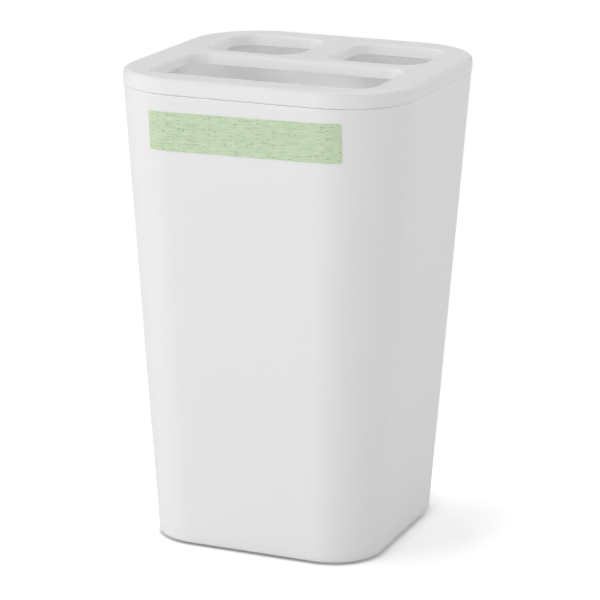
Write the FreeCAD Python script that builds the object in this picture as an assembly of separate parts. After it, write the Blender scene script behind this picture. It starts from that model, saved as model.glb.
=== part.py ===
"""Square toothbrush holder: a tapered cup, a lift-off lid with three slots, a paper label and four foot pads.

Millimetres, +Z up. The origin is the middle of the base, on the surface that the holder stands on.
The label faces -Y, the wide slot is at the front and the two small slots are behind it.
"""

import FreeCAD, Part
import math
import os

# Cup: a square section with round corners that widens on a straight taper from its base to its rim
rim_width = 80.0
base_width = 63.5
cup_height = 123.4
rim_corner_radius = 20.3
base_corner_radius = 13.9
wall = 2.4
floor_thickness = 3.0
floor_fillet = 6.0
floor_fillet_limit_share = 0.9
bottom_edge_radius = 0.3
rim_edge_radius = 0.3
rim_inner_chamfer = 0.5

# Underside of the cup: a shallow round panel, with the stub left by the moulding gate in its middle
panel_diameter = 26.0
panel_depth = 0.5
gate_diameter = 3.0
gate_height = 0.3

# Foot pads: soft discs stuck into round seats under the cup
foot_diameter = 10.0
foot_stand_off = 0.5
foot_seat_depth = 0.8
foot_seat_clearance = 0.15
foot_edge_radius = 0.2
foot_inset = 12.0

# Lid: a plate whose side carries on the cup's side, with a plug under it that drops into the cup's mouth
lid_overhang = 0.18
lid_plate = 3.1
lid_recess = 1.0
lid_edge_radius = 1.4
lid_lower_edge_radius = 0.25
reveal_height = 0.15
reveal_depth = 0.9
plug_depth = 11.0
plug_wall = 1.8
plug_clearance = 0.25
plug_lead_in = 0.6

# Grip ribs: low upright ribs on the plug's flats that keep the lid from rattling
rib_radius = 0.9
rib_clearance = 0.05
rib_place_share = 0.66
rib_end_share = 0.24

# Slots: one wide slot across the front, two behind it side by side
slot_land = 3.87
cross_bar = 6.2
cross_bar_offset = 2.1
rear_bar = 8.6
slot_corner_radius = 6.5
slot_lip_radius = 1.0
slot_lower_radius = 0.3

# Label: a strip of paper stuck across the top of the front face, a little askew
label_width = 53.0
label_height = 10.2
label_thickness = 0.12
label_adhesive = 0.04
label_corner_radius = 0.4
label_top_gap = 4.1
label_shift = 0.45
label_tilt_deg = 0.85

# Cuts run this far past the faces that they open, and edges this near to a height count as lying at it
overrun = 2.0
level_tolerance = 0.01

# Heights that the pieces share
cup_bottom = foot_stand_off
cup_floor = cup_bottom + floor_thickness
cup_rim = cup_bottom + cup_height
foot_seat_top = cup_bottom + foot_seat_depth
panel_top = cup_bottom + panel_depth
lid_bottom = cup_rim + reveal_height
plate_under = cup_rim + lid_recess
lid_top = plate_under + lid_plate
plug_bottom = cup_rim - plug_depth
label_middle = cup_rim - label_top_gap - label_height / 2

# Sizes across that the pieces share
side_lean = (rim_width - base_width) / (2 * cup_height)
lid_half_width = rim_width / 2 + lid_overhang
lid_corner_radius = rim_corner_radius + lid_overhang
plug_inset = wall + plug_clearance
cavity_inset = plug_inset + plug_wall
foot_centre = base_width / 2 - foot_inset

# Side of the base that each foot pad is on, along X and along Y
foot_sides = {
    "foot_front_left": (-1, -1),
    "foot_front_right": (1, -1),
    "foot_rear_left": (-1, 1),
    "foot_rear_right": (1, 1),
}


def rounded_rectangle(x_low, x_high, y_low, y_high, radius, z):
    """Closed wire at height z: four straight runs joined by quarter arcs."""
    bow = radius * (1 - math.sqrt(0.5))
    arcs = [
        ((x_high, y_high - radius), (x_high - bow, y_high - bow), (x_high - radius, y_high)),
        ((x_low + radius, y_high), (x_low + bow, y_high - bow), (x_low, y_high - radius)),
        ((x_low, y_low + radius), (x_low + bow, y_low + bow), (x_low + radius, y_low)),
        ((x_high - radius, y_low), (x_high - bow, y_low + bow), (x_high, y_low + radius)),
    ]
    edges = []
    for arc, next_arc in zip(arcs, arcs[1:] + arcs[:1]):
        start, middle, end = [FreeCAD.Vector(x, y, z) for x, y in arc]
        next_start = FreeCAD.Vector(next_arc[0][0], next_arc[0][1], z)
        edges.append(Part.Arc(start, middle, end).toShape())
        edges.append(Part.LineSegment(end, next_start).toShape())
    return Part.Wire(edges)


def rounded_square(half_width, radius, z):
    """Closed square wire with round corners, centred on the Z axis at height z."""
    return rounded_rectangle(-half_width, half_width, -half_width, half_width, radius, z)


def prism(wire, z_high):
    """Solid that stands on a flat wire and reaches up to z_high."""
    return Part.Face(wire).extrude(FreeCAD.Vector(0, 0, z_high - wire.BoundBox.ZMin))


def disc(diameter, x, y, z_low, z_high):
    """Upright round solid between two heights."""
    return Part.makeCylinder(diameter / 2, z_high - z_low, FreeCAD.Vector(x, y, z_low))


def rise_share(z):
    """How far up the cup a height is, from 0 at its base to 1 at its rim."""
    return (z - cup_bottom) / cup_height


def taper_half_width(z, inset):
    """Half width of the cup's taper at height z, moved inwards by inset."""
    return (base_width + (rim_width - base_width) * rise_share(z)) / 2 - inset


def taper_corner_radius(z, inset):
    """Corner radius of the cup's taper at height z, moved inwards by inset."""
    return base_corner_radius + (rim_corner_radius - base_corner_radius) * rise_share(z) - inset


def taper_section(z, inset):
    """Outline of the cup's taper at height z, moved inwards by inset, or outwards where that is negative."""
    return rounded_square(taper_half_width(z, inset), taper_corner_radius(z, inset), z)


def taper(z_low, z_high, inset):
    """Solid with the cup's taper between two heights, moved inwards by inset."""
    return Part.makeLoft([taper_section(z_low, inset), taper_section(z_high, inset)], True, True)


def lies_at(edge, z):
    """Whether an edge is flat at height z."""
    first, last = edge.ParameterRange
    heights = [edge.valueAt(first + (last - first) * share).z for share in (0, 0.5, 1)]
    return all(abs(height - z) < level_tolerance for height in heights)


def edges_at(shape, z):
    """Edges that lie flat at height z."""
    return [edge for edge in shape.Edges if lies_at(edge, z)]


def face_at(shape, z):
    """Largest face that lies flat at height z."""
    flat = [face for face in shape.Faces if all(lies_at(edge, z) for edge in face.Edges)]
    return max(flat, key=lambda face: face.Area)


def outer_edges(face):
    """Edges round the outside of a face."""
    return face.OuterWire.Edges


def hole_edges(face):
    """Edges round the holes in a face."""
    holes = [wire for wire in face.Wires if not wire.isSame(face.OuterWire)]
    return [edge for wire in holes for edge in wire.Edges]


def make_cup():
    """Tapered shell, open at the top, with seats for the foot pads under its floor."""
    body = taper(cup_bottom, cup_rim, 0)
    body = body.makeFillet(bottom_edge_radius, edges_at(body, cup_bottom))
    hollow = taper(cup_floor, cup_rim + overrun, wall)
    fillet_limit = floor_fillet_limit_share * taper_corner_radius(cup_floor, wall)
    hollow = hollow.makeFillet(min(floor_fillet, fillet_limit), edges_at(hollow, cup_floor))
    cup = body.cut(hollow)
    cup = cup.makeChamfer(rim_inner_chamfer, hole_edges(face_at(cup, cup_rim)))
    cup = cup.makeFillet(rim_edge_radius, outer_edges(face_at(cup, cup_rim)))

    panel = disc(panel_diameter, 0, 0, cup_bottom - overrun, panel_top)
    gate = disc(gate_diameter, 0, 0, panel_top - gate_height, panel_top + gate_height)
    cup = cup.cut(panel).fuse(gate)
    for side_x, side_y in foot_sides.values():
        seat_diameter = foot_diameter + 2 * foot_seat_clearance
        seat_x = side_x * foot_centre
        seat_y = side_y * foot_centre
        cup = cup.cut(disc(seat_diameter, seat_x, seat_y, cup_bottom - overrun, foot_seat_top))
    return cup.removeSplitter()


def make_foot(side_x, side_y):
    """Soft disc that fills a seat and stands a little below the cup's base."""
    foot = disc(foot_diameter, side_x * foot_centre, side_y * foot_centre, 0, foot_seat_top)
    return foot.makeFillet(foot_edge_radius, edges_at(foot, 0))


def make_grip_ribs():
    """Two upright ribs on each flat of the plug, leaning with the cup's side, rounded at their lower ends."""
    rib_low = plug_bottom + plug_depth * rib_end_share
    rib_high = cup_rim - plug_depth * rib_end_share
    flat_half_width = taper_half_width(rib_low, 0) - taper_corner_radius(rib_low, 0)
    axis_y = -taper_half_width(rib_low, wall + rib_clearance + rib_radius)
    lean = FreeCAD.Vector(0, -side_lean, 1)
    ribs = []
    for quarter_turns in range(4):
        for side_x in (-1, 1):
            lower_end = FreeCAD.Vector(side_x * flat_half_width * rib_place_share, axis_y, rib_low)
            shaft = Part.makeCylinder(rib_radius, (rib_high - rib_low) * lean.Length, lower_end, lean)
            rib = shaft.fuse(Part.makeSphere(rib_radius, lower_end))
            rib.rotate(FreeCAD.Vector(0, 0, 0), FreeCAD.Vector(0, 0, 1), quarter_turns * 90)
            ribs.append(rib)
    return ribs


def make_slots():
    """Three upright cutters with round corners: the wide front slot, then the two behind it."""
    reach = taper_half_width(plug_bottom, cavity_inset) - slot_land
    bar_front = cross_bar_offset - cross_bar / 2
    bar_rear = cross_bar_offset + cross_bar / 2
    outlines = [
        (-reach, reach, -reach, bar_front),
        (-reach, -rear_bar / 2, bar_rear, reach),
        (rear_bar / 2, reach, bar_rear, reach),
    ]
    cutters = []
    for x_low, x_high, y_low, y_high in outlines:
        outline = rounded_rectangle(x_low, x_high, y_low, y_high, slot_corner_radius, plate_under - overrun)
        cutters.append(prism(outline, lid_top + overrun))
    return cutters


def make_lid():
    """Slotted plate that sits on the cup's rim, with a shadow gap round its seat and a plug below it."""
    plate = prism(rounded_square(lid_half_width, lid_corner_radius, lid_bottom), lid_top)
    plate = plate.makeFillet(lid_edge_radius, edges_at(plate, lid_top))
    plate = plate.makeFillet(lid_lower_edge_radius, edges_at(plate, lid_bottom))

    seat_half_width = rim_width / 2 - reveal_depth
    seat_corner_radius = rim_corner_radius - reveal_depth
    seat = prism(rounded_square(seat_half_width, seat_corner_radius, cup_rim), plate_under)

    plug = taper(plug_bottom, plate_under, plug_inset)
    plug = plug.makeChamfer(plug_lead_in, edges_at(plug, plug_bottom))

    cavity_half_width = taper_half_width(plug_bottom, cavity_inset)
    cavity_corner_radius = taper_corner_radius(plug_bottom, cavity_inset)
    cavity_outline = rounded_square(cavity_half_width, cavity_corner_radius, plug_bottom - overrun)
    cavity = prism(cavity_outline, plate_under)

    lid = plate.fuse([seat, plug] + make_grip_ribs())
    lid = lid.cut([cavity] + make_slots()).removeSplitter()
    lid = lid.makeFillet(slot_lip_radius, hole_edges(face_at(lid, lid_top)))
    return lid.makeFillet(slot_lower_radius, hole_edges(face_at(lid, plate_under)))


def make_label():
    """Thin strip that follows the front of the cup and bends round onto its two front corners."""
    half_width = label_width / 2
    half_height = label_height / 2
    origin = FreeCAD.Vector(0, 0, 0)
    outline = rounded_rectangle(-half_width, half_width, -half_height, half_height, label_corner_radius, 0)
    outline.rotate(origin, FreeCAD.Vector(0, 0, 1), label_tilt_deg)
    outline.rotate(origin, FreeCAD.Vector(1, 0, 0), 90)
    outline.translate(FreeCAD.Vector(label_shift, 0, label_middle))
    stamp = Part.Face(outline).extrude(FreeCAD.Vector(0, -rim_width, 0))

    skin_low = label_middle - label_width
    skin_high = label_middle + label_width
    outside = taper(skin_low, skin_high, -label_adhesive - label_thickness)
    inside = taper(skin_low, skin_high, -label_adhesive)
    return stamp.common(outside.cut(inside))


def single_solid(shape):
    """The one solid that a shape holds."""
    solids = shape.Solids
    if len(solids) != 1:
        raise ValueError(f"expected one solid, found {len(solids)}")
    return solids[0]


pieces = {"cup": make_cup(), "lid": make_lid(), "label": make_label()}
for name, (side_x, side_y) in foot_sides.items():
    pieces[name] = make_foot(side_x, side_y)

os.makedirs("parts", exist_ok=True)
for name, shape in pieces.items():
    solid = single_solid(shape)
    solid.exportStep(f"parts/{name}.step")
    box = solid.optimalBoundingBox()
    size = f"{box.XLength:.2f} x {box.YLength:.2f} x {box.ZLength:.2f} mm"
    print(f"{name}: {size}, {solid.Volume / 1000:.3f} cm3, valid {solid.isValid()}")
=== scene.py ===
"""Looks of a square toothbrush holder: moulded cup, slotted lift-off lid, green paper label and soft foot pads.

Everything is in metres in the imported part's own frame: +Z up, the label faces -Y, the table is at z = 0.
"""

from __future__ import annotations

import logging
import math
from collections.abc import Callable, Iterable, Sequence
from dataclasses import dataclass, field
from enum import Enum
from typing import Union

import bmesh
import bpy
from mathutils import Matrix, Vector


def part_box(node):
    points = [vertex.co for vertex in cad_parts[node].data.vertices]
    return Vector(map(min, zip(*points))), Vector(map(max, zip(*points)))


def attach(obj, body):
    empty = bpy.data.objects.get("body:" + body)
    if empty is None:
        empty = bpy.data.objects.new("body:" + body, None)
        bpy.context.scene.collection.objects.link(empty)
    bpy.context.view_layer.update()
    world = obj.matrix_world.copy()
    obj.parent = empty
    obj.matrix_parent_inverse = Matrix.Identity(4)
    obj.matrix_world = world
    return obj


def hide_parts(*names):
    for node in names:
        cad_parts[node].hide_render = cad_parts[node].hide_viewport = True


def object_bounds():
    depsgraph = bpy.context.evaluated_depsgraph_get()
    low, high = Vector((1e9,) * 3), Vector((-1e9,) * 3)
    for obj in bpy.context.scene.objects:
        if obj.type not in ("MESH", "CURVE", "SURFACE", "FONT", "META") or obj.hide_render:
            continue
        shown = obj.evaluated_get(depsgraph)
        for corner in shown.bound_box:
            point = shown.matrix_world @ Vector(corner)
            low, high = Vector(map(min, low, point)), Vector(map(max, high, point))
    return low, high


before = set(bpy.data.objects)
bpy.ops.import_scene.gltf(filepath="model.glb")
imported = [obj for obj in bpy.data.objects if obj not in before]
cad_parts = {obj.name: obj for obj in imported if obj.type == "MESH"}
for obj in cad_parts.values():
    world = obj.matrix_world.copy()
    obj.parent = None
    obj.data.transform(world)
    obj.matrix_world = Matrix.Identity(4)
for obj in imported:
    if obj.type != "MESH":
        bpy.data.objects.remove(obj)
cad_low, cad_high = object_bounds()

log = logging.getLogger("toothbrush_holder")

Colour = tuple[float, float, float]
Span = tuple[float, float]
Socket = bpy.types.NodeSocket
Source = Union[bpy.types.NodeSocket, float, tuple[float, ...]]

MM = 0.001

BLACK: Colour = (0.0, 0.0, 0.0)
WHITE: Colour = (1.0, 1.0, 1.0)

# How finely rounds, corners and straight sides are divided.
ARC_STEPS = 24
SIDE_STEPS = 12
FILLET_STEPS = 6
ROUND_STEPS = 64

QUARTER_TURN = math.pi / 2
SMOOTH_ANGLE = math.radians(32)
FLAT_WEIGHT = 100

# Noise runs from 0 to 1 about this middle, and is fine or coarse by its detail and roughness.
NOISE_MIDDLE = 0.5
COARSE_DETAIL = 2.0
FINE_DETAIL = 3.0
FINE_ROUGHNESS = 0.6

# Share of a fleck's size that has its full strength.
FLECK_CORE = 0.4

# The paper's flecks lie along its fibres, and its pale ones apart from its dark ones.
FLECK_STRETCH = (0.55, 0.55, 1.3)
PALE_SHIFT = (17.3, 5.1, 9.7)
STREAK_RANGE = (0.5, 0.72)
BLEACH_RANGE = (0.28, 0.5)
PULP_RELIEF = 0.5

# Places of the rings across a foot pad's dished underside, as shares of its radius.
DISH_RINGS = (0.2, 0.4, 0.6, 0.8)

# Light scatters alike in all colours inside a soft pad.
EVEN_SCATTER = (1.0, 1.0, 1.0)

# Widths of the soft boxes.
LOW_BOX = 0.6
HIGH_BOX = 0.8


class Body(Enum):
    """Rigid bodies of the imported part."""

    CUP = "cup_body"
    LID = "lid_body"


class Slot(Enum):
    """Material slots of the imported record."""

    PLASTIC = "white_plastic"
    PAPER = "label_paper"
    RUBBER = "foot_rubber"


class Join(Enum):
    """Ways of joining one solid mesh with another."""

    CUT = "DIFFERENCE"
    ADD = "UNION"


class PaperMask(Enum):
    """Masks that the paper's fibre group puts out."""

    STREAK = "Streak"
    BLEACH = "Bleach"
    PALE = "Pale"
    DARK = "Dark"


@dataclass(frozen=True)
class Outline:
    """A flat rectangle with round corners at one height."""

    x_low: float
    x_high: float
    y_low: float
    y_high: float
    radius: float
    z: float

    @classmethod
    def square(cls, half_width: float, radius: float, z: float) -> Outline:
        """A square outline centred on the Z axis."""
        return cls(-half_width, half_width, -half_width, half_width, radius, z)

    def moved(self, outward: float, z: float) -> Outline:
        """The same outline with every side moved outwards, at another height."""
        x, y = (self.x_low - outward, self.x_high + outward), (self.y_low - outward, self.y_high + outward)
        return Outline(*x, *y, self.radius + outward, z)

    def shifted(self, x: float, y: float) -> Outline:
        """The same outline moved to the right and to the rear."""
        return Outline(self.x_low + x, self.x_high + x, self.y_low + y, self.y_high + y, self.radius, self.z)

    def points(self) -> list[Vector]:
        """Points round the outline, anticlockwise from the end of the +X side.

        Returns:
            The same number of points, in the same order, for every outline.
        """
        centres = [
            (self.x_high - self.radius, self.y_high - self.radius),
            (self.x_low + self.radius, self.y_high - self.radius),
            (self.x_low + self.radius, self.y_low + self.radius),
            (self.x_high - self.radius, self.y_low + self.radius),
        ]
        arcs: list[list[Vector]] = []
        for quarter, (x, y) in enumerate(centres):
            angles = [QUARTER_TURN * (quarter + step / ARC_STEPS) for step in range(ARC_STEPS + 1)]
            arcs.append([on_circle(x, y, self.radius, angle, self.z) for angle in angles])
        shares = [step / SIDE_STEPS for step in range(1, SIDE_STEPS)]
        points: list[Vector] = []
        for arc, following in zip(arcs, arcs[1:] + arcs[:1]):
            points.extend(arc)
            points.extend(arc[-1].lerp(following[0], share) for share in shares)
        return points


@dataclass(frozen=True)
class Taper:
    """The square cup's straight taper, from its base to its rim."""

    base_half_width: float
    rim_half_width: float
    base_radius: float
    rim_radius: float
    z_base: float
    z_rim: float

    @property
    def lean(self) -> float:
        """How far a side moves out for each unit of height."""
        return (self.rim_half_width - self.base_half_width) / (self.z_rim - self.z_base)

    def half_width(self, z: float, inset: float = 0.0) -> float:
        """Half width at a height, moved inwards by inset."""
        return self.base_half_width + self.lean * (z - self.z_base) - inset

    def radius(self, z: float, inset: float = 0.0) -> float:
        """Corner radius at a height, moved inwards by inset."""
        growth = (self.rim_radius - self.base_radius) / (self.z_rim - self.z_base)
        return self.base_radius + growth * (z - self.z_base) - inset

    def outline(self, z: float, inset: float = 0.0) -> Outline:
        """Outline at a height, moved inwards by inset."""
        return Outline.square(self.half_width(z, inset), self.radius(z, inset), z)

    def fillet(self, z_plane: float, inset: float, radius: float) -> list[Outline]:
        """Outlines round the edge between a level face and the side above it.

        Args:
            z_plane: Height of the level face.
            inset: How far inside the outer taper the side lies.
            radius: Radius of the edge.

        Returns:
            Outlines from the level face up to the side.
        """
        angle_of_lean = math.atan(self.lean)
        z_centre = z_plane + radius
        x_centre = self.half_width(z_centre, inset) - radius / math.cos(angle_of_lean)
        outlines = []
        for step in range(FILLET_STEPS + 1):
            angle = -QUARTER_TURN + (QUARTER_TURN - angle_of_lean) * step / FILLET_STEPS
            x = x_centre + radius * math.cos(angle)
            z = z_centre + radius * math.sin(angle)
            outlines.append(self.outline(z, self.half_width(z) - x))
        return outlines

    def front(self, x: float, z: float, outward: float) -> Vector:
        """Point on the front of the cup, or a little in front of it.

        Args:
            x: Place across the front.
            z: Height.
            outward: Distance in front of the cup's surface.

        Returns:
            The point, on the flat or on the round of a front corner.
        """
        radius = self.radius(z)
        flat = self.half_width(z) - radius
        beyond = max(0.0, abs(x) - flat)
        depth = math.sqrt((radius + outward) ** 2 - beyond**2)
        return Vector((x, -flat - depth, z))


def on_circle(x: float, y: float, radius: float, angle: float, z: float) -> Vector:
    """Point at an angle on a level circle."""
    return Vector((x + radius * math.cos(angle), y + radius * math.sin(angle), z))


def round_ring(x: float, y: float, radius: float, z: float) -> list[Vector]:
    """Level ring of points about an upright axis."""
    return [on_circle(x, y, radius, 2 * math.pi * step / ROUND_STEPS, z) for step in range(ROUND_STEPS)]


def quarter_round(radius: float) -> list[tuple[float, float]]:
    """Points of a quarter circle between two faces that meet squarely.

    Args:
        radius: Radius of the edge.

    Returns:
        Pairs: distance inwards from the first face, and distance inwards from the second. The first pair lies
        on the second face, the last one on the first face.
    """
    angles = [QUARTER_TURN * step / FILLET_STEPS for step in range(FILLET_STEPS + 1)]
    return [(radius * (1 - math.sin(a)), radius * (1 - math.cos(a))) for a in angles]


def direction(azimuth: float, elevation: float) -> Vector:
    """Unit vector at an angle from the front towards the right and one above the table, in radians."""
    level = math.cos(elevation)
    return Vector((math.sin(azimuth) * level, -math.cos(azimuth) * level, math.sin(elevation)))


def add_to_scene(name: str, data: bpy.types.ID) -> bpy.types.Object:
    """Makes an object of the scene.

    Args:
        name: Name of the object.
        data: Its mesh, light or camera.

    Returns:
        The new object, at the origin.
    """
    made = bpy.data.objects.new(name, data)
    bpy.context.scene.collection.objects.link(made)
    return made


def new_piece(name: str, shape: bmesh.types.BMesh) -> bpy.types.Object:
    """Turns a finished shape into an object of the scene.

    Args:
        name: Name of the object.
        shape: Its faces; this is freed.

    Returns:
        The new object, at the origin.
    """
    bmesh.ops.recalc_face_normals(shape, faces=shape.faces)
    mesh = bpy.data.meshes.new(name)
    shape.to_mesh(mesh)
    shape.free()
    return add_to_scene(name, mesh)


def loft(name: str, rings: Iterable[Sequence[Vector]]) -> bpy.types.Object:
    """Closed solid through rings of points, with a flat cap on the first and the last.

    Args:
        name: Name of the object.
        rings: Rings with the same number of points each.

    Returns:
        The solid.
    """
    shape = bmesh.new()
    loops = [[shape.verts.new(point) for point in ring] for ring in rings]
    for lower, upper in zip(loops, loops[1:]):
        bridge(shape, lower, upper)
    shape.faces.new(loops[0])
    shape.faces.new(loops[-1])
    return new_piece(name, shape)


def bridge(
    shape: bmesh.types.BMesh, lower: Sequence[bmesh.types.BMVert], upper: Sequence[bmesh.types.BMVert]
) -> None:
    """Closes the band between two loops of points.

    Args:
        shape: Mesh that takes the faces.
        lower: One loop.
        upper: The other loop, with as many points.
    """
    for here, (a, b) in enumerate(zip(lower, upper)):
        ahead = (here + 1) % len(lower)
        shape.faces.new((a, lower[ahead], upper[ahead], b))


def join(piece: bpy.types.Object, others: Iterable[bpy.types.Object], how: Join) -> None:
    """Cuts other solids out of a piece, or adds them to it, and removes them from the scene.

    Args:
        piece: The solid that is kept.
        others: Solids that are used up.
        how: Whether they are cut out or added.
    """
    others = list(others)
    for other in others:
        boolean = piece.modifiers.new(other.name, "BOOLEAN")
        boolean.operation = how.value
        boolean.solver = "EXACT"
        boolean.object = other
    graph = bpy.context.evaluated_depsgraph_get()
    joined = bpy.data.meshes.new_from_object(piece.evaluated_get(graph))
    piece.modifiers.clear()
    piece.data = joined
    for other in others:
        bpy.data.objects.remove(other)


def smooth(piece: bpy.types.Object) -> None:
    """Shades a piece smoothly over its rounds and flat on its flats, with crisp sharp edges.

    Args:
        piece: The piece.
    """
    piece.data.shade_smooth()
    piece.data.set_sharp_from_angle(angle=SMOOTH_ANGLE)
    normals = piece.modifiers.new("flat_faces", "WEIGHTED_NORMAL")
    normals.mode = "FACE_AREA"
    normals.weight = FLAT_WEIGHT
    normals.keep_sharp = True


def opaque(colour: Colour) -> tuple[float, ...]:
    """A colour with full alpha, as colour sockets take it."""
    return (*colour, 1.0)


class Graph:
    """A node tree that is filled by short calls."""

    def __init__(self, tree: bpy.types.NodeTree) -> None:
        """Starts on a tree, which is emptied."""
        self.tree = tree
        tree.nodes.clear()

    def node(self, kind: str, **settings: object) -> bpy.types.Node:
        """Adds a node.

        Args:
            kind: Blender's name for the node's type.
            settings: Properties of the node.

        Returns:
            The node.
        """
        made = self.tree.nodes.new(kind)
        for name, value in settings.items():
            setattr(made, name, value)
        return made

    def feed(self, socket: Socket, value: Source) -> None:
        """Links a socket to an output, or sets it to a plain value.

        Args:
            socket: Input of a node.
            value: What it gets.
        """
        if isinstance(value, bpy.types.NodeSocket):
            self.tree.links.new(value, socket)
        else:
            socket.default_value = value

    def filled(self, kind: str, values: dict[str, Source], **settings: object) -> bpy.types.Node:
        """Adds a node and feeds its inputs by their names.

        Args:
            kind: Blender's name for the node's type.
            values: What the named inputs get.
            settings: Properties of the node.

        Returns:
            The node.
        """
        made = self.node(kind, **settings)
        for name, value in values.items():
            self.feed(made.inputs[name], value)
        return made

    def result(self, kind: str, values: Sequence[Source], **settings: object) -> Socket:
        """Adds a node and feeds its inputs in their order.

        Args:
            kind: Blender's name for the node's type.
            values: What its first inputs get.
            settings: Properties of the node.

        Returns:
            The node's first output.
        """
        made = self.node(kind, **settings)
        for socket, value in zip(made.inputs, values):
            self.feed(socket, value)
        return made.outputs[0]

    def math(self, operation: str, *values: Source) -> Socket:
        """Result of a Math node."""
        return self.result("ShaderNodeMath", values, operation=operation)

    def vector(self, operation: str, *values: Source) -> Socket:
        """Vector result of a Vector Math node."""
        return self.result("ShaderNodeVectorMath", values, operation=operation)

    def ramp(self, value: Source, low: Source, high: Source, to_low: Source, to_high: Source) -> Socket:
        """A value moved smoothly from one range to another, and held at its ends."""
        values = (value, low, high, to_low, to_high)
        return self.result("ShaderNodeMapRange", values, interpolation_type="SMOOTHSTEP")

    def lift(self, value: Source, share: Source) -> Socket:
        """A value raised by a share of what it lacks to 1."""
        return self.math("MULTIPLY_ADD", self.math("SUBTRACT", 1.0, value), share, value)

    def either(self, share: Source, first: Source, second: Source) -> Socket:
        """Mix of two shaders."""
        return self.result("ShaderNodeMixShader", (share, first, second))

    def mix(self, share: Source, first: Source, second: Source) -> Socket:
        """Mix of two colours, with a share of the second."""
        values = {"Factor": share, "A": first, "B": second}
        return self.filled("ShaderNodeMix", values, data_type="RGBA").outputs["Result"]

    def place(self) -> Socket:
        """The surface point in the piece's own frame."""
        return self.node("ShaderNodeTexCoord").outputs["Object"]

    def place_in_mm(self) -> Socket:
        """The surface point in the piece's own frame, in millimetres."""
        return self.vector("MULTIPLY", self.place(), (1 / MM, 1 / MM, 1 / MM))

    def noise(self, vector: Source, detail: float, roughness: float) -> Socket:
        """Noise from 0 to 1 with features about one unit across, and finer layers by its detail."""
        values = {"Vector": vector, "Scale": 1.0, "Detail": detail, "Roughness": roughness}
        return self.filled("ShaderNodeTexNoise", values).outputs["Fac"]

    def flecks(self, vector: Source, share: Source, size: Source) -> Socket:
        """Soft spots in some of the cells of a pattern, which are about one unit across.

        Args:
            vector: Place in the pattern.
            share: Share of the cells that have a spot.
            size: Radius of a spot.

        Returns:
            A mask that is 1 in the middle of a spot.
        """
        cells = self.filled("ShaderNodeTexVoronoi", {"Vector": vector, "Scale": 1.0}, feature="F1")
        core = self.math("MULTIPLY", size, FLECK_CORE)
        spot = self.ramp(cells.outputs["Distance"], core, size, 1.0, 0.0)
        chance = self.result("ShaderNodeSeparateColor", [cells.outputs["Color"]])
        return self.math("MULTIPLY", spot, self.math("LESS_THAN", chance, share))

    def distance(self, outline: Outline) -> Socket:
        """Level distance outwards from an outline.

        Args:
            outline: The outline.

        Returns:
            The distance, which is negative inside.
        """
        middle = Vector((outline.x_low + outline.x_high, outline.y_low + outline.y_high, 0.0)) / 2
        straight = Vector((outline.x_high - outline.radius, outline.y_high - outline.radius, 0.0)) - middle
        from_middle = self.vector("ABSOLUTE", self.vector("SUBTRACT", self.place(), tuple(middle)))
        beyond = self.vector("SUBTRACT", from_middle, tuple(straight))
        reach = self.node("ShaderNodeVectorMath", operation="LENGTH")
        self.feed(reach.inputs[0], self.vector("MAXIMUM", beyond, (0.0, 0.0, 0.0)))
        return self.math("SUBTRACT", reach.outputs["Value"], outline.radius)

    def bump(self, height: Source, depth: float) -> Socket:
        """Normal of a relief with a depth."""
        values = {"Strength": 1.0, "Distance": depth, "Height": height}
        return self.filled("ShaderNodeBump", values).outputs["Normal"]

    def surface(self, shader: Socket, kind: str = "ShaderNodeOutputMaterial") -> None:
        """Feeds a finished shader to a new output node."""
        self.feed(self.node(kind).inputs["Surface"], shader)


Reader = Callable[[str], bpy.types.NodeSocket]


def shader_group(
    name: str,
    inputs: dict[str, float],
    outputs: Sequence[str],
    fill: Callable[[Graph, Reader], dict[str, Socket]],
) -> bpy.types.NodeTree:
    """Makes a shader node group once, and gives the same one afterwards.

    Args:
        name: Name of the group.
        inputs: Its inputs and their usual values.
        outputs: Its outputs.
        fill: Builds the inside; it gets the graph and a way to read an input, and returns what feeds each
            output.

    Returns:
        The group.
    """
    found = bpy.data.node_groups.get(name)
    if found is not None:
        return found
    tree = bpy.data.node_groups.new(name, "ShaderNodeTree")
    graph = Graph(tree)
    for label, usual in inputs.items():
        made = tree.interface.new_socket(label, in_out="INPUT", socket_type="NodeSocketFloat")
        made.default_value = usual
    for label in outputs:
        tree.interface.new_socket(label, in_out="OUTPUT", socket_type="NodeSocketFloat")
    source = graph.node("NodeGroupInput")
    target = graph.node("NodeGroupOutput")
    for label, result in fill(graph, lambda wanted: source.outputs[wanted]).items():
        graph.feed(target.inputs[label], result)
    return tree


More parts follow.
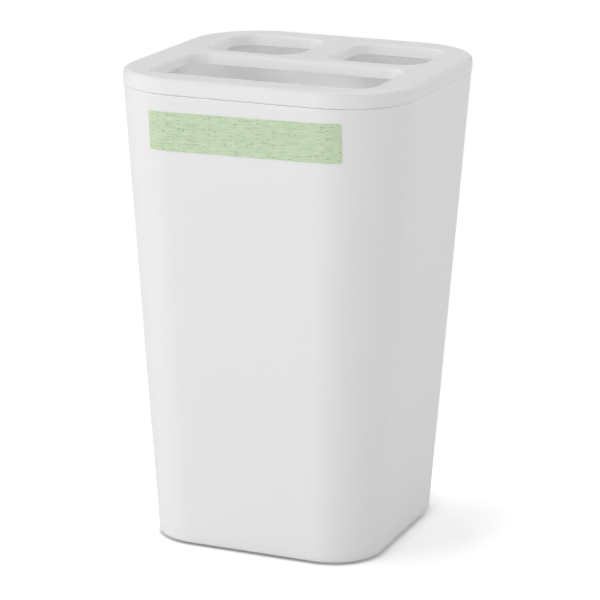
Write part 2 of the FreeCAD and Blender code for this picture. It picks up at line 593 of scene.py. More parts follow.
def moulded_surface() -> bpy.types.NodeTree:
    """Skin of a moulded piece: fine mould grain, faint cloudy flow over a wider area, and a few specks.

    Returns:
        The shader node group.
    """

    def fill(graph: Graph, read: Reader) -> dict[str, Socket]:
        """Builds the inside of the group.

        Args:
            graph: The group's nodes.
            read: Gives an input by its name.

        Returns:
            What feeds each output.
        """
        in_mm = graph.place_in_mm()
        grain = graph.noise(graph.vector("DIVIDE", in_mm, read("Grain Size")), FINE_DETAIL, FINE_ROUGHNESS)
        cloud = graph.noise(graph.vector("DIVIDE", in_mm, read("Flow Size")), COARSE_DETAIL, NOISE_MIDDLE)
        speck_size = graph.math("DIVIDE", read("Speck Size"), read("Speck Spacing"))
        speck_place = graph.vector("DIVIDE", in_mm, read("Speck Spacing"))
        settled = graph.flecks(speck_place, read("Speck Share"), speck_size)
        uneven = graph.math("SUBTRACT", cloud, NOISE_MIDDLE)
        grainy = graph.math("SUBTRACT", grain, NOISE_MIDDLE)
        gloss = graph.math("MULTIPLY_ADD", uneven, read("Flow Gloss"), read("Roughness"))
        gloss = graph.math("MULTIPLY_ADD", grainy, read("Grain Gloss"), gloss)
        flow_shade = graph.math("MULTIPLY", cloud, read("Flow Shade"))
        shade = graph.math("MAXIMUM", flow_shade, graph.math("MULTIPLY", settled, read("Speck Shade")))
        return {"Shade": shade, "Roughness": gloss, "Height": grain}

    inputs = {
        "Roughness": 0.45,
        "Grain Size": 0.25,
        "Grain Gloss": 0.1,
        "Flow Size": 22.0,
        "Flow Gloss": 0.12,
        "Flow Shade": 0.2,
        "Speck Spacing": 8.0,
        "Speck Size": 0.15,
        "Speck Share": 0.3,
        "Speck Shade": 0.6,
    }
    return shader_group("moulded_surface", inputs, ("Shade", "Roughness", "Height"), fill)


def paper_fibre() -> bpy.types.NodeTree:
    """Recycled paper: long level fibres, with dark and pale flecks among them.

    Returns:
        The shader node group.
    """

    def fill(graph: Graph, read: Reader) -> dict[str, Socket]:
        """Builds the inside of the group.

        Args:
            graph: The group's nodes.
            read: Gives an input by its name.

        Returns:
            What feeds each output.
        """
        in_mm = graph.place_in_mm()
        length = read("Fibre Length")
        fibre_size = graph.result("ShaderNodeCombineXYZ", (length, length, read("Fibre Width")))
        fibre = graph.noise(graph.vector("DIVIDE", in_mm, fibre_size), COARSE_DETAIL, FINE_ROUGHNESS)
        pulp = graph.noise(graph.vector("DIVIDE", in_mm, read("Pulp Size")), FINE_DETAIL, FINE_ROUGHNESS)
        spacing = read("Fleck Spacing")
        fleck_size = graph.math("DIVIDE", read("Fleck Size"), spacing)
        drawn_out = graph.vector("MULTIPLY", in_mm, FLECK_STRETCH)
        dark = graph.flecks(graph.vector("DIVIDE", drawn_out, spacing), read("Dark Share"), fleck_size)
        apart = graph.vector("ADD", drawn_out, PALE_SHIFT)
        pale = graph.flecks(graph.vector("DIVIDE", apart, spacing), read("Pale Share"), fleck_size)
        return {
            "Streak": graph.ramp(fibre, *STREAK_RANGE, 0.0, 1.0),
            "Bleach": graph.ramp(fibre, *BLEACH_RANGE, 1.0, 0.0),
            "Pulp": pulp,
            "Dark": dark,
            "Pale": pale,
            "Height": graph.math("MULTIPLY_ADD", pulp, PULP_RELIEF, fibre),
        }

    inputs = {
        "Fibre Length": 2.4,
        "Fibre Width": 0.28,
        "Pulp Size": 1.8,
        "Fleck Spacing": 0.8,
        "Fleck Size": 0.24,
        "Dark Share": 0.3,
        "Pale Share": 0.2,
    }
    outputs = [mask.value for mask in PaperMask] + ["Pulp", "Height"]
    return shader_group("paper_fibre", inputs, outputs, fill)


def new_material(name: str) -> tuple[bpy.types.Material, Graph]:
    """Starts a material with no nodes.

    Args:
        name: Name of the material.

    Returns:
        The material, and the graph that fills it.
    """
    made = bpy.data.materials.new(name)
    made.use_nodes = True
    return made, Graph(made.node_tree)


@dataclass(frozen=True)
class MouldedFinish:
    """Finish of a moulded piece, plastic or soft."""

    name: str
    colour: Colour
    shade_colour: Colour
    roughness: float
    grain_mm: float
    grain_depth: float
    flow_mm: float
    translucent: float = 0.0
    scatter_depth: float = 4.0 * MM

    def material(self) -> bpy.types.Material:
        """The material, made once.

        Returns:
            A material whose colour, gloss and relief come from the moulded surface group.
        """
        found = bpy.data.materials.get(self.name)
        if found is not None:
            return found
        made, graph = new_material(self.name)
        sizes = {"Roughness": self.roughness, "Grain Size": self.grain_mm, "Flow Size": self.flow_mm}
        skin = graph.filled("ShaderNodeGroup", sizes, node_tree=moulded_surface())
        values = {
            "Base Color": graph.mix(skin.outputs["Shade"], opaque(self.colour), opaque(self.shade_colour)),
            "Roughness": skin.outputs["Roughness"],
            "Normal": graph.bump(skin.outputs["Height"], self.grain_depth),
            "Subsurface Weight": self.translucent,
            "Subsurface Radius": EVEN_SCATTER,
            "Subsurface Scale": self.scatter_depth,
        }
        shader = graph.filled("ShaderNodeBsdfPrincipled", values, subsurface_method="RANDOM_WALK")
        graph.surface(shader.outputs["BSDF"])
        return made


@dataclass(frozen=True)
class PaperLayer:
    """One colour that the paper takes where a mask is full."""

    mask: PaperMask
    colour: Colour
    share: float


@dataclass(frozen=True)
class PaperFinish:
    """Finish of the label: uncoated paper in a pale colour, with its fibres and flecks as layers."""

    name: str
    colour: Colour
    pulp_colour: Colour
    layers: tuple[PaperLayer, ...]
    roughness: float
    specular: float
    relief: float

    def material(self) -> bpy.types.Material:
        """The material.

        Returns:
            A material with the paper's fibres and flecks in its colour and relief.
        """
        made, graph = new_material(self.name)
        paper = graph.node("ShaderNodeGroup", node_tree=paper_fibre())
        colour = graph.mix(paper.outputs["Pulp"], opaque(self.colour), opaque(self.pulp_colour))
        for layer in self.layers:
            share = graph.math("MULTIPLY", paper.outputs[layer.mask.value], layer.share)
            colour = graph.mix(share, colour, opaque(layer.colour))
        values = {
            "Base Color": colour,
            "Normal": graph.bump(paper.outputs["Height"], self.relief),
            "Roughness": self.roughness,
            "Specular IOR Level": self.specular,
        }
        graph.surface(graph.filled("ShaderNodeBsdfPrincipled", values).outputs["BSDF"])
        return made


WHITE_PLASTIC = MouldedFinish(
    name="satin_white_plastic",
    colour=(0.981, 0.981, 0.981),
    shade_colour=(0.954, 0.954, 0.952),
    roughness=0.46,
    grain_mm=0.3,
    grain_depth=0.004 * MM,
    flow_mm=24.0,
)

PAD_RUBBER = MouldedFinish(
    name="soft_pad_rubber",
    colour=(0.52, 0.52, 0.51),
    shade_colour=(0.36, 0.36, 0.35),
    roughness=0.7,
    grain_mm=0.5,
    grain_depth=0.02 * MM,
    flow_mm=5.0,
    translucent=0.3,
    scatter_depth=1.0 * MM,
)

GREEN_PAPER = PaperFinish(
    name="green_fibre_paper",
    colour=(0.725, 0.86, 0.53),
    pulp_colour=(0.61, 0.80, 0.62),
    layers=(
        PaperLayer(PaperMask.STREAK, (0.47, 0.60, 0.40), 0.7),
        PaperLayer(PaperMask.BLEACH, (0.80, 0.91, 0.70), 0.75),
        PaperLayer(PaperMask.PALE, (0.88, 0.94, 0.82), 0.7),
        PaperLayer(PaperMask.DARK, (0.20, 0.28, 0.17), 0.6),
    ),
    roughness=0.75,
    specular=0.3,
    relief=0.02 * MM,
)


def dress(
    piece: bpy.types.Object, finish: MouldedFinish | PaperFinish, body: Body, slot: Slot, *nodes: str
) -> bpy.types.Object:
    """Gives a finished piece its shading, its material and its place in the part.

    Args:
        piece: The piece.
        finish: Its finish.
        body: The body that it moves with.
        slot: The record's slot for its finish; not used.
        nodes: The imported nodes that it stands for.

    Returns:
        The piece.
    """
    smooth(piece)
    piece.data.materials.clear()
    piece.data.materials.append(finish.material())
    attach(piece, body.value)
    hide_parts(*nodes)
    log.info("%s: %d faces, stands for %s", piece.name, len(piece.data.polygons), ", ".join(nodes))
    return piece


@dataclass
class Cup:
    """The tapered cup: one moulded shell, open at the top."""

    rim_half_width: float = 40.0 * MM
    base_half_width: float = 31.75 * MM
    rim_radius: float = 20.3 * MM
    base_radius: float = 13.9 * MM
    wall: float = 2.4 * MM
    floor: float = 3.0 * MM
    floor_fillet: float = 6.0 * MM
    bottom_edge: float = 0.3 * MM
    rim_edge: float = 0.3 * MM
    rim_chamfer: float = 0.5 * MM
    panel_radius: float = 13.0 * MM
    panel_depth: float = 0.5 * MM
    gate_radius: float = 1.5 * MM
    gate_height: float = 0.3 * MM
    seat_clearance: float = 0.15 * MM
    recess_edge: float = 0.15 * MM
    side_rings: int = 12
    taper: Taper = field(init=False)

    def __post_init__(self) -> None:
        """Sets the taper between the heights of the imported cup."""
        low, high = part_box("cup")
        self.taper = Taper(
            self.base_half_width, self.rim_half_width, self.base_radius, self.rim_radius, low.z, high.z
        )

    def side(self, z_start: float, z_end: float, inset: float) -> list[Outline]:
        """Outlines along a straight side from one height to another, moved inwards by inset."""
        shares = [step / self.side_rings for step in range(self.side_rings + 1)]
        return [self.taper.outline(z_start + (z_end - z_start) * share, inset) for share in shares]

    def outside(self) -> list[Outline]:
        """Outlines up the outside.

        Returns:
            Outlines from the underside to the flat of the rim.
        """
        taper = self.taper
        lower = taper.fillet(taper.z_base, 0.0, self.bottom_edge)
        side = self.side(lower[-1].z, taper.z_rim - self.rim_edge, 0.0)
        edge = [
            taper.outline(taper.z_rim - below, inset) for inset, below in reversed(quarter_round(self.rim_edge))
        ]
        return lower + side[1:] + edge[1:]

    def inside(self) -> list[Outline]:
        """Outlines down the inside.

        Returns:
            Outlines from the flat of the rim to the floor.
        """
        taper = self.taper
        lower = taper.fillet(taper.z_base + self.floor, self.wall, self.floor_fillet)
        side = self.side(taper.z_rim - self.rim_chamfer, lower[-1].z, self.wall)
        mouth = taper.outline(taper.z_rim, self.wall - self.rim_chamfer)
        return [mouth] + side[:-1] + lower[::-1]

    def recess(self, name: str, x: float, y: float, radius: float, depth: float) -> bpy.types.Object:
        """Round cutter for the underside, with a small bevel at its mouth.

        Args:
            name: Name of the cutter.
            x: Place of its axis.
            y: Place of its axis.
            radius: Radius of the recess.
            depth: Depth of the recess.

        Returns:
            The cutter.
        """
        base = self.taper.z_base
        edge = self.recess_edge
        rings = [
            round_ring(x, y, radius + 2 * edge, base - edge),
            round_ring(x, y, radius, base + edge),
            round_ring(x, y, radius, base + depth),
        ]
        return loft(name, rings)

    def gate(self) -> bpy.types.Object:
        """Stub left by the moulding gate, in the middle of the underside.

        Returns:
            The stub.
        """
        root = self.taper.z_base + self.panel_depth
        edge = self.gate_height / 2
        rings = [
            round_ring(0.0, 0.0, self.gate_radius, root + self.gate_height),
            round_ring(0.0, 0.0, self.gate_radius, root - edge),
            round_ring(0.0, 0.0, self.gate_radius - edge, root - self.gate_height),
        ]
        return loft("gate", rings)

    def build(self, foot_names: Sequence[str]) -> bpy.types.Object:
        """Builds and dresses the cup.

        Args:
            foot_names: Packed foot pads, which sit in seats under the cup.

        Returns:
            The cup.
        """
        cup = loft("moulded_cup", [outline.points() for outline in self.outside() + self.inside()])
        cutters = [self.recess("panel", 0.0, 0.0, self.panel_radius, self.panel_depth)]
        for name in foot_names:
            low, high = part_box(name)
            middle = (low + high) / 2
            radius = (high.x - low.x) / 2 + self.seat_clearance
            cutters.append(self.recess(f"seat_{name}", middle.x, middle.y, radius, high.z - self.taper.z_base))
        join(cup, cutters, Join.CUT)
        join(cup, [self.gate()], Join.ADD)
        return dress(cup, WHITE_PLASTIC, Body.CUP, Slot.PLASTIC, "cup")


@dataclass
class Lid:
    """The lift-off lid: a slotted plate with a plug that drops into the cup's mouth."""

    taper: Taper
    wall: float
    plate: float = 3.1 * MM
    top_edge: float = 1.4 * MM
    lower_edge: float = 0.25 * MM
    reveal_height: float = 0.15 * MM
    reveal_depth: float = 0.9 * MM
    plug_wall: float = 1.8 * MM
    plug_clearance: float = 0.25 * MM
    plug_lead_in: float = 0.6 * MM
    rib_radius: float = 0.9 * MM
    rib_clearance: float = 0.05 * MM
    rib_place_share: float = 0.66
    rib_end_share: float = 0.24
    slot_land: float = 3.87 * MM
    cross_bar: float = 6.2 * MM
    cross_bar_offset: float = 2.1 * MM
    rear_bar: float = 8.6 * MM
    slot_radius: float = 6.5 * MM
    slot_lip: float = 1.0 * MM
    slot_lower_edge: float = 0.3 * MM
    overrun: float = 0.5 * MM
    overlap: float = 0.002 * MM
    half_width: float = field(init=False)
    z_top: float = field(init=False)
    z_plug: float = field(init=False)

    def __post_init__(self) -> None:
        """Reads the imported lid's height and width."""
        low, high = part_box("lid")
        self.half_width, self.z_top, self.z_plug = high.x, high.z, low.z

    @property
    def z_under(self) -> float:
        """Height of the plate's underside."""
        return self.z_top - self.plate

    @property
    def z_lower(self) -> float:
        """Height of the lid's lower edge, above the reveal line."""
        return self.taper.z_rim + self.reveal_height

    @property
    def radius(self) -> float:
        """Corner radius of the lid's side."""
        return self.taper.rim_radius + self.half_width - self.taper.rim_half_width

    @property
    def plug_inset(self) -> float:
        """How far the plug's outside lies inside the cup's outside."""
        return self.wall + self.plug_clearance

    def cavity(self, z: float) -> Outline:
        """Outline of the hollow inside the plug, which has upright walls."""
        inner = self.taper.outline(self.z_plug, self.plug_inset + self.plug_wall)
        return inner.moved(0.0, z)

    def underside(self) -> list[Outline]:
        """Outlines under the lid.

        Returns:
            Outlines from the plate's underside, round the plug and the seat, to the lid's lower edge.
        """
        taper = self.taper
        lead_in = self.plug_lead_in
        seat = Outline.square(
            taper.rim_half_width - self.reveal_depth, taper.rim_radius - self.reveal_depth, taper.z_rim
        )
        return [
            self.cavity(self.z_under),
            self.cavity(self.z_plug),
            taper.outline(self.z_plug, self.plug_inset + lead_in),
            taper.outline(self.z_plug + lead_in, self.plug_inset),
            taper.outline(taper.z_rim, self.plug_inset),
            seat,
            seat.moved(0.0, self.z_lower),
        ]

    def outside(self) -> list[Outline]:
        """Outlines up the lid's side.

        Returns:
            Outlines from its lower edge to the flat top.
        """
        side = Outline.square(self.half_width, self.radius, 0.0)
        lower = [(inset, self.z_lower + above) for above, inset in reversed(quarter_round(self.lower_edge))]
        upper = [(inset, self.z_top - below) for inset, below in reversed(quarter_round(self.top_edge))]
        return [side.moved(-inset, z) for inset, z in lower + upper]

    def slots(self) -> list[Outline]:
        """The wide front slot and the two slots behind it.

        Returns:
            Their outlines, at the plate's underside.
        """
        reach = self.cavity(0.0).x_high - self.slot_land
        front = self.cross_bar_offset - self.cross_bar / 2
        rear = self.cross_bar_offset + self.cross_bar / 2
        inner = self.rear_bar / 2
        spans = [(-reach, reach, -reach, front), (-reach, -inner, rear, reach), (inner, reach, rear, reach)]
        return [Outline(*span, self.slot_radius, self.z_under) for span in spans]

    def slot_cutter(self, number: int, slot: Outline) -> bpy.types.Object:
        """Cutter for one slot, flared at both ends so that the slot's edges come out rounded.

        Args:
            number: Number of the slot.
            slot: Its outline.

        Returns:
            The cutter, which stands a little proud of both faces of the plate.
        """
        low = self.z_under - self.overlap
        high = self.z_top + self.overlap
        lower = [(outward, low + above) for above, outward in quarter_round(self.slot_lower_edge)]
        upper = [(outward, high - below) for below, outward in quarter_round(self.slot_lip)]
        ends = [(self.slot_lower_edge, low - self.overrun), (self.slot_lip, high + self.overrun)]
        walls = ends[:1] + lower[::-1] + upper + ends[1:]
        return loft(f"slot_{number}", [slot.moved(outward, z).points() for outward, z in walls])

    def rib(self, quarter: int, side: int) -> bpy.types.Object:
        """One upright grip rib on a flat of the plug.

        Args:
            quarter: Which of the plug's four flats carries it.
            side: Left or right of the flat's middle, as -1 or 1.

        Returns:
            The rib, with a domed lower end.
        """
        depth = self.taper.z_rim - self.z_plug
        z_low = self.z_plug + depth * self.rib_end_share
        z_high = self.taper.z_rim - depth * self.rib_end_share
        flat = self.taper.half_width(z_low) - self.taper.radius(z_low)
        axis_y = -self.taper.half_width(z_low, self.wall + self.rib_clearance + self.rib_radius)
        lower_end = Vector((side * flat * self.rib_place_share, axis_y, z_low))
        along = Vector((0.0, -self.taper.lean, 1.0))
        angles = [QUARTER_TURN * step / FILLET_STEPS for step in range(1, FILLET_STEPS + 1)]
        profile = [(self.rib_radius * math.sin(a), -self.rib_radius * math.cos(a)) for a in angles]
        profile.append((self.rib_radius, (z_high - z_low) * along.length))
        turn = Matrix.Rotation(quarter * QUARTER_TURN, 4, "Z")
        place = turn @ Matrix.Translation(lower_end) @ along.to_track_quat("Z", "Y").to_matrix().to_4x4()
        rings = [[place @ point for point in round_ring(0.0, 0.0, radius, z)] for radius, z in profile]
        return loft(f"rib_{quarter}_{side}", rings)

    def build(self) -> bpy.types.Object:
        """Builds and dresses the lid.

        Returns:
            The lid.
        """
        lid = loft("slotted_lid", [outline.points() for outline in self.underside() + self.outside()])
        join(lid, [self.slot_cutter(number, slot) for number, slot in enumerate(self.slots())], Join.CUT)
        join(lid, [self.rib(quarter, side) for quarter in range(4) for side in (-1, 1)], Join.ADD)
        return dress(lid, WHITE_PLASTIC, Body.LID, Slot.PLASTIC, "lid")


@dataclass
class Label:
    """The strip of paper stuck across the front, which bends round onto both front corners."""

    taper: Taper
    width: float = 53.0 * MM
    height: float = 10.2 * MM
    thickness: float = 0.12 * MM
    adhesive: float = 0.04 * MM
    corner: float = 0.4 * MM
    tilt: float = math.radians(0.85)
    shift: float = 0.45 * MM
    cell: float = 0.6 * MM
    corner_cells: int = 4

    def stations(self, length: float) -> list[float]:
        """Places along one side of the strip, close together in its round corners.

        Args:
            length: Length of the side.

        Returns:
            Distances from the side's middle, in order.
        """
        straight = length / 2 - self.corner
        count = max(2, round(2 * straight / self.cell))
        middle = [straight * (2 * step / count - 1) for step in range(count + 1)]
        corner = [self.corner * step / self.corner_cells for step in range(1, self.corner_cells + 1)]
        return [-straight - c for c in reversed(corner)] + middle + [straight + c for c in corner]

    def rounded(self, u: float, v: float) -> tuple[float, float]:
        """Moves a point of a square-cornered strip to its place in the round-cornered one.

        Args:
            u: Distance from the middle along the strip.
            v: Distance from the middle across the strip.

        Returns:
            The moved point; only those in a corner move.
        """
        flat_u = self.width / 2 - self.corner
        flat_v = self.height / 2 - self.corner
        beyond_u = (abs(u) - flat_u) / self.corner
        beyond_v = (abs(v) - flat_v) / self.corner
        if beyond_u <= 0 or beyond_v <= 0:
            return u, v
        moved_u = flat_u + self.corner * beyond_u * math.sqrt(1 - beyond_v**2 / 2)
        moved_v = flat_v + self.corner * beyond_v * math.sqrt(1 - beyond_u**2 / 2)
        return math.copysign(moved_u, u), math.copysign(moved_v, v)

    def skin(self, shape: bmesh.types.BMesh, outward: float, z_middle: float) -> list[bmesh.types.BMVert]:
        """Adds one face of the strip as a grid.

        Args:
            shape: Mesh that takes the grid.
            outward: Distance in front of the cup.
            z_middle: Height of the strip's middle.

        Returns:
            The points round the face's edge, in order.
        """
        cos_tilt = math.cos(self.tilt)
        sin_tilt = math.sin(self.tilt)
        rows = []
        for v in self.stations(self.height):
            row = []
            for u in self.stations(self.width):
                along, across = self.rounded(u, v)
                x = self.shift + along * cos_tilt - across * sin_tilt
                z = z_middle + along * sin_tilt + across * cos_tilt
                row.append(shape.verts.new(self.taper.front(x, z, outward)))
            rows.append(row)
        for lower, upper in zip(rows, rows[1:]):
            for place in range(len(lower) - 1):
                shape.faces.new((lower[place], lower[place + 1], upper[place + 1], upper[place]))
        right = [row[-1] for row in rows[1:-1]]
        left = [row[0] for row in rows[1:-1]]
        return rows[0] + right + rows[-1][::-1] + left[::-1]

    def build(self) -> bpy.types.Object:
        """Builds and dresses the label.

        Returns:
            The label.
        """
        low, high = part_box("label")
        z_middle = (low.z + high.z) / 2
        shape = bmesh.new()
        back = self.skin(shape, self.adhesive, z_middle)
        face = self.skin(shape, self.adhesive + self.thickness, z_middle)
        bridge(shape, back, face)
        label = new_piece("paper_label", shape)
        return dress(label, GREEN_PAPER, Body.CUP, Slot.PAPER, "label")


@dataclass
class FootPad:
    """One soft round pad, pressed into its seat under the cup."""

    node: str
    edge: float = 0.2 * MM
    dish: float = 0.06 * MM

    def build(self) -> bpy.types.Object:
        """Builds and dresses the pad.

        Returns:
            The pad.
        """
        low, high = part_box(self.node)
        middle = (low + high) / 2
        radius = (high.x - low.x) / 2
        profile = [(radius * share, low.z + self.dish * (1 - share**2)) for share in DISH_RINGS]
        profile += [(radius - inset, low.z + above) for inset, above in quarter_round(self.edge)]
        profile += [(radius, high.z - self.edge), (radius - self.edge / 2, high.z)]
        pad = loft(f"pad_{self.node}", [round_ring(middle.x, middle.y, r, z) for r, z in profile])
        return dress(pad, PAD_RUBBER, Body.CUP, Slot.RUBBER, self.node)


@dataclass(frozen=True)
class SoftLight:
    """A square soft box aimed at the middle of the holder, with its angles in degrees."""

    name: str
    azimuth: float
    elevation: float
    power: float
    width: float
    distance: float = 1.5

    def build(self, target: Vector) -> bpy.types.Object:
        """Hangs the light.

        Args:
            target: Point that it faces.

        Returns:
            The light.
        """
        back = direction(math.radians(self.azimuth), math.radians(self.elevation))
        lamp = bpy.data.lights.new(self.name, "AREA")
        lamp.shape = "SQUARE"
        lamp.size = self.width
        lamp.energy = self.power
        light = add_to_scene(self.name, lamp)
        light.location = target + back * self.distance
        light.rotation_mode = "QUATERNION"
        light.rotation_quaternion = back.to_track_quat("Z", "Y")
        return light


@dataclass(frozen=True)
class Fade:
    """A stretch where the painted contact shadow at the foot of the cup is paler.

    Each span says where it starts and where it is full along that axis; with none it is full all along.
    """

    share: float
    x: Span | None = None
    y: Span | None = None


@dataclass
class Studio:
    """The plain white table and the soft light round it.

    The table lights the holder from below with a soft glow in place of bounced light, with painted shade where
    the holder's shadow falls and round its foot. The camera sees it white, with a painted contact shadow at the
    foot of the cup, painted soft shade next to it and a painted shadow to the right.
    """

    target: Vector
    base: Outline
    floor_radius: float = 4.0
    floor_roughness: float = 0.9
    floor_colour: Colour = (0.98, 0.98, 0.98)
    # Painted contact shadow: the table's colour to the camera at the foot of the cup.
    contact_shadow_colour: Colour = (0.58, 0.58, 0.58)
    bounce_colour: Colour = (0.35, 0.35, 0.35)
    # Glow that lights the holder from below in place of light bounced off the table, with painted shade where
    # the holder's shadow falls.
    bounce_glow: float = 0.41
    shade_glow: float = 0.345
    shade_x: float = 20.0 * MM
    shade_soft: float = 12.0 * MM
    # Glow that the camera sees in the painted shadow to the right of the holder, and away from it.
    shadow_glow: float = 0.255
    open_glow: float = 0.5
    far_start: float = 10.0 * MM
    far_full: float = 60.0 * MM
    glow_strength: float = 1.01
    # Band round the foot of the cup that holds the painted contact shadow.
    contact_in: float = -0.5 * MM
    contact_out: float = 1.9 * MM
    # How far under the cup the lighting glow comes back, past the band round the foot where it is painted out
    # as contact shade.
    under_edge: float = -1.5 * MM
    # Place, inset and softness of the painted shadow to the right.
    shadow_x: float = 21.0 * MM
    shadow_inset: float = 8.0 * MM
    shadow_soft: float = 33.0 * MM
    # Painted soft shade on the table at the left and right ends of the cup.
    side_shade_glow: float = 0.7
    side_shade_y: float = 4.0 * MM
    side_shade_soft: float = 4.5 * MM
    bounces: int = 20
    # Stretches where the painted contact shadow is paler.
    fades: tuple[Fade, ...] = (
        Fade(0.15, x=(6.0 * MM, 24.0 * MM)),
        Fade(0.28, x=(25.0 * MM, 31.0 * MM)),
        Fade(0.3, x=(-18.0 * MM, -31.0 * MM)),
        Fade(0.8, x=(-28.5 * MM, -30.5 * MM), y=(-14.0 * MM, -20.0 * MM)),
        Fade(0.9, x=(16.0 * MM, 27.0 * MM), y=(8.0 * MM, 22.0 * MM)),
    )
    lights: tuple[SoftLight, ...] = (
        SoftLight("low_front", azimuth=-10.0, elevation=8.0, power=4.45, width=LOW_BOX),
        SoftLight("low_left", azimuth=-80.0, elevation=8.0, power=3.2, width=LOW_BOX),
        SoftLight("front_right", azimuth=25.0, elevation=22.0, power=1.48, width=LOW_BOX),
        SoftLight("right", azimuth=110.0, elevation=22.0, power=2.84, width=LOW_BOX),
        SoftLight("rear_right", azimuth=150.0, elevation=22.0, power=3.71, width=LOW_BOX),
        SoftLight("high_front_left", azimuth=-45.0, elevation=45.0, power=8.12, width=HIGH_BOX),
        SoftLight("high_rear_left", azimuth=-130.0, elevation=45.0, power=5.07, width=HIGH_BOX),
        SoftLight("high_front_right", azimuth=60.0, elevation=45.0, power=3.3, width=HIGH_BOX),
        SoftLight("high_right", azimuth=110.0, elevation=45.0, power=0.89, width=HIGH_BOX),
        SoftLight("high_rear", azimuth=180.0, elevation=45.0, power=3.91, width=HIGH_BOX),
    )

    def fade(self, graph: Graph) -> Source:
        """How far the painted contact shadow at the foot of the cup is paled at each place.

        Args:
            graph: The table's nodes.

        Returns:
            A share, which is 0 where the painted contact shadow is darkest.
        """
        place = graph.filled("ShaderNodeSeparateXYZ", {"Vector": graph.place()})
        most: Source = 0.0
        for fade in self.fades:
            share: Source = fade.share
            for axis, span in (("X", fade.x), ("Y", fade.y)):
                if span is not None:
                    share = graph.math("MULTIPLY", share, graph.ramp(place.outputs[axis], *span, 0.0, 1.0))
            most = graph.math("MAXIMUM", most, share)
        return most

    def table_material(self) -> bpy.types.Material:
        """Material of the table, which is clear when seen from below and has painted shadow and shade round the
        holder.

        Returns:
            The material.
        """
        made, graph = new_material("white_table")
        by_camera = graph.node("ShaderNodeLightPath").outputs["Is Camera Ray"]
        from_base = graph.distance(self.base)
        # Painted contact shadow: in a band round the foot of the cup the table is painted darker and glows less
        # to the camera.
        contact = graph.ramp(from_base, self.contact_in, self.contact_out, 0.0, 1.0)
        under = graph.ramp(from_base, self.under_edge, 0.0, 1.0, 0.0)
        # Painted shadow to the right of the holder: the glow that the camera sees is weaker there.
        shadow = self.base.moved(-self.shadow_inset, self.base.z).shifted(self.shadow_x, 0.0)
        from_shadow = graph.distance(shadow)
        open_table = graph.ramp(from_shadow, 0.0, self.shadow_soft, self.shadow_glow, self.open_glow)
        # Painted soft shade at the ends of the cup, in the glow that the camera sees.
        from_side_shade = graph.distance(self.base.shifted(0.0, self.side_shade_y))
        side_shade = graph.ramp(from_side_shade, 0.0, self.side_shade_soft, self.side_shade_glow, 1.0)
        seen_contact = graph.lift(contact, self.fade(graph))
        far = graph.ramp(from_base, self.far_start, self.far_full, 0.0, 1.0)
        near_colour = graph.mix(seen_contact, opaque(self.contact_shadow_colour), opaque(self.floor_colour))
        seen_colour = graph.mix(far, near_colour, opaque(BLACK))
        near_glow = graph.math("MULTIPLY", seen_contact, graph.math("MULTIPLY", open_table, side_shade))
        seen_glow = graph.lift(near_glow, far)
        # Painted bounce light: the glow that lights the holder stands in for light bounced off the table, with
        # painted shade in the holder's shadow and round its foot.
        from_shade = graph.distance(self.base.shifted(self.shade_x, 0.0))
        bounce = graph.ramp(from_shade, 0.0, self.shade_soft, self.shade_glow, self.bounce_glow)
        lit_glow = graph.math("MULTIPLY", graph.math("MAXIMUM", contact, under), bounce)
        values = {
            "Base Color": graph.mix(by_camera, opaque(self.bounce_colour), seen_colour),
            "Emission Color": graph.mix(by_camera, lit_glow, seen_glow),
            "Emission Strength": self.glow_strength,
            "Roughness": self.floor_roughness,
            "Specular IOR Level": 0.0,
        }
        shader = graph.filled("ShaderNodeBsdfPrincipled", values)
        from_below = graph.node("ShaderNodeNewGeometry").outputs["Backfacing"]
        clear = graph.node("ShaderNodeBsdfTransparent").outputs["BSDF"]
        graph.surface(graph.either(from_below, shader.outputs["BSDF"], clear))
        return made

    def table(self) -> bpy.types.Object:
        """Round table top, which is part of the stage.

        Returns:
            The table top.
        """
        shape = bmesh.new()
        shape.faces.new([shape.verts.new(point) for point in round_ring(0.0, 0.0, self.floor_radius, 0.0)])
        table = new_piece("table_top", shape)
        table.data.materials.append(self.table_material())
        return table

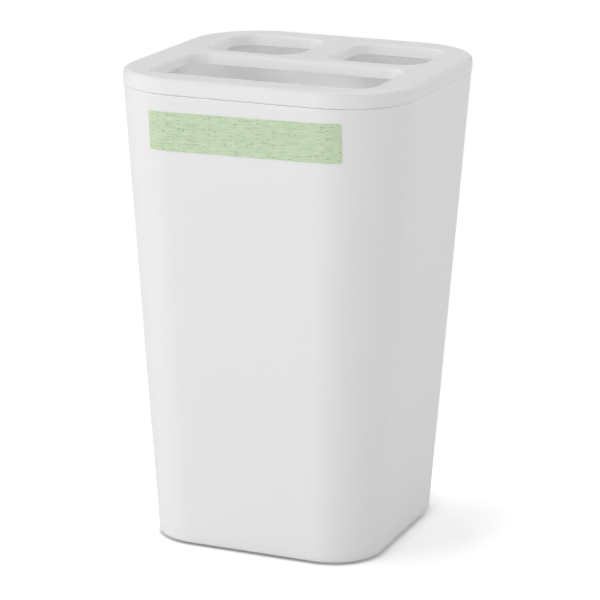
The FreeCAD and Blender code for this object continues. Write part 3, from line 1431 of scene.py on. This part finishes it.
    def room(self) -> None:
        """Sets up the room, which is plain white to the camera and sheds no light on the holder."""
        world = bpy.data.worlds.new("white_room")
        world.use_nodes = True
        graph = Graph(world.node_tree)
        by_camera = graph.node("ShaderNodeLightPath").outputs["Is Camera Ray"]
        light, seen = (graph.result("ShaderNodeBackground", (opaque(WHITE), power)) for power in (0.0, 1.0))
        graph.surface(graph.either(by_camera, light, seen), "ShaderNodeOutputWorld")
        bpy.context.scene.world = world

    def build(self) -> None:
        """Sets up the table, the room and the lights."""
        self.table()
        self.room()
        for light in self.lights:
            light.build(self.target)
        bpy.context.scene.view_settings.view_transform = "Standard"
        bpy.context.scene.cycles.diffuse_bounces = self.bounces
        bpy.context.scene.cycles.max_bounces = self.bounces


@dataclass
class Viewpoint:
    """The camera, at the photograph's viewing angle."""

    azimuth: float = math.radians(22.173)
    elevation: float = math.radians(15.349)
    roll: float = math.radians(0.548)
    distance: float = 746.9 * MM
    sideways: float = 0.504 * MM
    target_height: float = 62.15 * MM
    lens_mm: float = 165.474
    sensor_mm: float = 36.0
    nearest: float = 0.05
    farthest: float = 50.0

    def build(self) -> bpy.types.Object:
        """Places the camera and makes it the scene's own.

        Returns:
            The camera.
        """
        back = direction(self.azimuth, self.elevation)
        level = direction(self.azimuth + QUARTER_TURN, 0.0)
        upright = back.cross(level)
        right = level * math.cos(self.roll) + upright * math.sin(self.roll)
        up = upright * math.cos(self.roll) - level * math.sin(self.roll)
        lens = bpy.data.cameras.new("viewpoint")
        lens.lens = self.lens_mm
        lens.sensor_width = self.sensor_mm
        lens.clip_start = self.nearest
        lens.clip_end = self.farthest
        camera = add_to_scene("viewpoint", lens)
        camera.matrix_world = Matrix((right, up, back)).transposed().to_4x4()
        camera.matrix_world.translation = (
            level * self.sideways + Vector((0.0, 0.0, self.target_height)) + back * self.distance
        )
        bpy.context.scene.camera = camera
        return camera


def main() -> None:
    """Builds the holder, piece by piece, then the studio and the camera."""
    logging.basicConfig(level=logging.INFO, format="%(name)s %(message)s")
    foot_names = sorted(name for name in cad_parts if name.startswith("foot_"))
    cup = Cup()
    cup.build(foot_names)
    Lid(cup.taper, cup.wall).build()
    Label(cup.taper).build()
    for name in foot_names:
        FootPad(name).build()
    Studio((cad_low + cad_high) / 2, cup.taper.outline(cup.taper.z_base)).build()
    Viewpoint().build()


if __name__ == "__main__":
    main()
